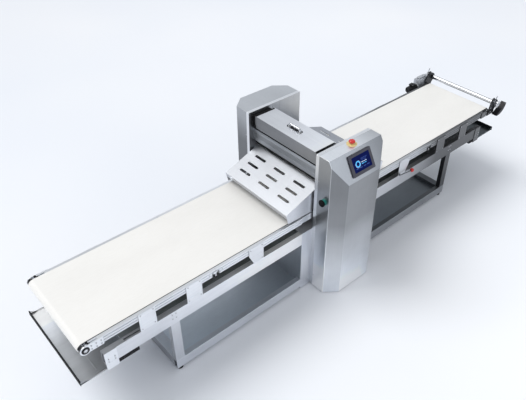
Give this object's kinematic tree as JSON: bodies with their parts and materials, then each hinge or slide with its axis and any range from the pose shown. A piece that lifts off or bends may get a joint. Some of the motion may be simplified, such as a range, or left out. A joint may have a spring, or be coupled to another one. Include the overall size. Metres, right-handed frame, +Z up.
{
  "type": "dough sheeter",
  "caption": "Long floor-standing dough sheeter with belt tables either side of a roller head, touch panel, slotted guards, catch trays and a winding roller.",
  "frame": {"origin": "on the floor, midway between the machine's two ends and between its two housings", "axes": "+X along the belts towards the outfeed end with the winding roller, +Y towards the far housing away from the operator, +Z up"},
  "size_m": [4.3137, 1.158, 1.257],
  "materials": {
    "stainless": "finely brushed",
    "bright_stainless": "smooth",
    "polished_steel": "polished",
    "dark_stainless": "brushed, in shadow tone",
    "machined_steel": "machined",
    "profile_aluminium": "anodised",
    "belt": "smooth food-grade belting",
    "bezel": "satin",
    "display": "glossy",
    "estop_yellow": "satin",
    "estop_red": "satin",
    "collar_green": "satin",
    "black_plastic": "satin",
    "black_coated": "satin black",
    "grey_paint": "satin",
    "motor_paint": "satin",
    "tray_steel": "brushed, with black rubber edging",
    "lever_red": "glossy ball on a black rod",
    "winding_white": "smooth, bright"
  },
  "bodies": {
    "machine": {"near_side_plate": "bright_stainless", "far_side_plate": "bright_stainless", "near_housing": "stainless", "far_housing": "stainless", "centre_base": "stainless", "levelling_feet": "machined_steel", "hmi_panel": "bezel", "hmi_display": "display", "estop_base": "estop_yellow", "button_collar": "collar_green", "roller_bearings": "machined_steel", "gap_actuators": "machined_steel", "main_gearmotor": "motor_paint", "drive_chains": "machined_steel", "control_box": "grey_paint", "lower_scrapers": "bright_stainless", "front_crossbar": "stainless", "rear_head_panel": "stainless", "side_profiles": "profile_aluminium", "roller_brackets": "bright_stainless", "slider_beds": "stainless", "table_cross_members": "stainless", "left_belt": "belt", "right_belt": "belt", "belt_end_brackets": "bright_stainless", "mounting_plates": "bright_stainless", "top_rails": "stainless", "legs": "stainless", "lower_rails": "stainless", "shelves": "dark_stainless", "flour_pans": "dark_stainless", "tray_hangers": "bright_stainless", "reeler_brackets": "black_coated", "reeler_motor": "black_coated", "reeler_gearbox": "grey_paint", "reeler_end_cover": "black_plastic", "cable_gland": "black_plastic", "fasteners": "machined_steel"},
    "left_guard": {"left_guard": "bright_stainless"},
    "right_guard": {"right_guard": "bright_stainless"},
    "top_cover": {"top_cover": "stainless", "cover_handle": "polished_steel"},
    "roller_carriage": {"roller_carriage": "grey_paint"},
    "upper_roller": {"upper_roller": "polished_steel"},
    "lower_roller": {"lower_roller": "polished_steel"},
    "motor_sprocket": {"motor_sprocket": "machined_steel"},
    "left_drive_roller": {"left_drive_roller": "polished_steel"},
    "left_end_roller": {"left_end_roller": "polished_steel"},
    "right_drive_roller": {"right_drive_roller": "polished_steel"},
    "right_end_roller": {"right_end_roller": "polished_steel"},
    "left_idler": {"left_idler": "polished_steel"},
    "right_idler": {"right_idler": "polished_steel"},
    "left_tray": {"left_tray": "tray_steel"},
    "right_tray": {"right_tray": "tray_steel"},
    "estop_button": {"estop_button": "estop_red"},
    "start_button": {"start_button": "black_plastic"},
    "lock_lever": {"lock_lever": "lever_red"},
    "winding_roller": {"winding_roller": "winding_white"},
    "near_clamp": {"near_clamp": "machined_steel"},
    "far_clamp": {"far_clamp": "machined_steel"}
  },
  "joints": [
    {"name": "left_guard_hinge", "type": "hinge", "parent": "machine", "child": "left_guard", "pos_m": [-0.256, 0, 0.908], "axis": [0, 1, 0], "range_deg": [0, 75]},
    {"name": "right_guard_hinge", "type": "hinge", "parent": "machine", "child": "right_guard", "pos_m": [0.148, 0, 0.908], "axis": [0, -1, 0], "range_deg": [0, 75]},
    {"name": "top_cover_hinge", "type": "hinge", "parent": "machine", "child": "top_cover", "pos_m": [-0.104, 0, 1.108], "axis": [0, 1, 0], "range_deg": [0, 88]},
    {"name": "roller_gap", "type": "slide", "parent": "machine", "child": "roller_carriage", "axis": [0, 0, 1], "range_m": [-0.011, 0.033]},
    {"name": "upper_roller_spin", "type": "hinge", "parent": "roller_carriage", "child": "upper_roller", "pos_m": [-0.054, 0, 0.779], "axis": [0, 1, 0], "continuous": true},
    {"name": "lower_roller_spin", "type": "hinge", "parent": "machine", "child": "lower_roller", "pos_m": [-0.054, 0, 0.677], "axis": [0, 1, 0], "continuous": true},
    {"name": "motor_sprocket_spin", "type": "hinge", "parent": "machine", "child": "motor_sprocket", "pos_m": [-0.054, 0, 0.33], "axis": [0, 1, 0], "continuous": true},
    {"name": "left_drive_roller_spin", "type": "hinge", "parent": "machine", "child": "left_drive_roller", "pos_m": [-0.146, 0, 0.684], "axis": [0, 1, 0], "continuous": true},
    {"name": "left_end_roller_spin", "type": "hinge", "parent": "machine", "child": "left_end_roller", "pos_m": [-2.075, 0, 0.684], "axis": [0, 1, 0], "continuous": true},
    {"name": "right_drive_roller_spin", "type": "hinge", "parent": "machine", "child": "right_drive_roller", "pos_m": [0.038, 0, 0.684], "axis": [0, 1, 0], "continuous": true},
    {"name": "right_end_roller_spin", "type": "hinge", "parent": "machine", "child": "right_end_roller", "pos_m": [1.967, 0, 0.684], "axis": [0, 1, 0], "continuous": true},
    {"name": "left_idler_spin", "type": "hinge", "parent": "machine", "child": "left_idler", "pos_m": [-1.175, 0, 0.6647], "axis": [0, 1, 0], "continuous": true},
    {"name": "right_idler_spin", "type": "hinge", "parent": "machine", "child": "right_idler", "pos_m": [1.067, 0, 0.6647], "axis": [0, 1, 0], "continuous": true},
    {"name": "left_tray_slide", "type": "slide", "parent": "machine", "child": "left_tray", "axis": [-1, 0, 0], "range_m": [0, 0.12]},
    {"name": "right_tray_slide", "type": "slide", "parent": "machine", "child": "right_tray", "axis": [1, 0, 0], "range_m": [-0.085, 0.035]},
    {"name": "estop_press", "type": "slide", "parent": "machine", "child": "estop_button", "axis": [0, 0, -1], "range_m": [0, 0.006]},
    {"name": "start_button_press", "type": "slide", "parent": "machine", "child": "start_button", "axis": [1, 0, 0], "range_m": [0, 0.004], "stiffness_N_per_m": 800},
    {"name": "lock_lever_swing", "type": "hinge", "parent": "machine", "child": "lock_lever", "pos_m": [0.684, 0, 0.584], "axis": [0, -1, 0], "range_deg": [0, 75]},
    {"name": "winding_roller_spin", "type": "hinge", "parent": "machine", "child": "winding_roller", "pos_m": [2.051, 0, 0.757], "axis": [0, 1, 0], "continuous": true},
    {"name": "near_clamp_swing", "type": "hinge", "parent": "machine", "child": "near_clamp", "pos_m": [2.016, 0, 0.79], "axis": [0, 1, 0], "range_deg": [0, 55]},
    {"name": "far_clamp_swing", "type": "hinge", "parent": "machine", "child": "far_clamp", "pos_m": [2.016, 0, 0.79], "axis": [0, 1, 0], "range_deg": [0, 55]}
  ],
  "couplings": [
    {"joint": "upper_roller_spin", "follows": "lower_roller_spin", "ratio": -1},
    {"joint": "motor_sprocket_spin", "follows": "lower_roller_spin", "ratio": 2},
    {"joint": "left_drive_roller_spin", "follows": "lower_roller_spin", "ratio": 1.2222},
    {"joint": "left_end_roller_spin", "follows": "lower_roller_spin", "ratio": 1.2222},
    {"joint": "right_drive_roller_spin", "follows": "lower_roller_spin", "ratio": 1.2222},
    {"joint": "right_end_roller_spin", "follows": "lower_roller_spin", "ratio": 1.2222},
    {"joint": "left_idler_spin", "follows": "lower_roller_spin", "ratio": 2.7867},
    {"joint": "right_idler_spin", "follows": "lower_roller_spin", "ratio": 2.7867}
  ]
}
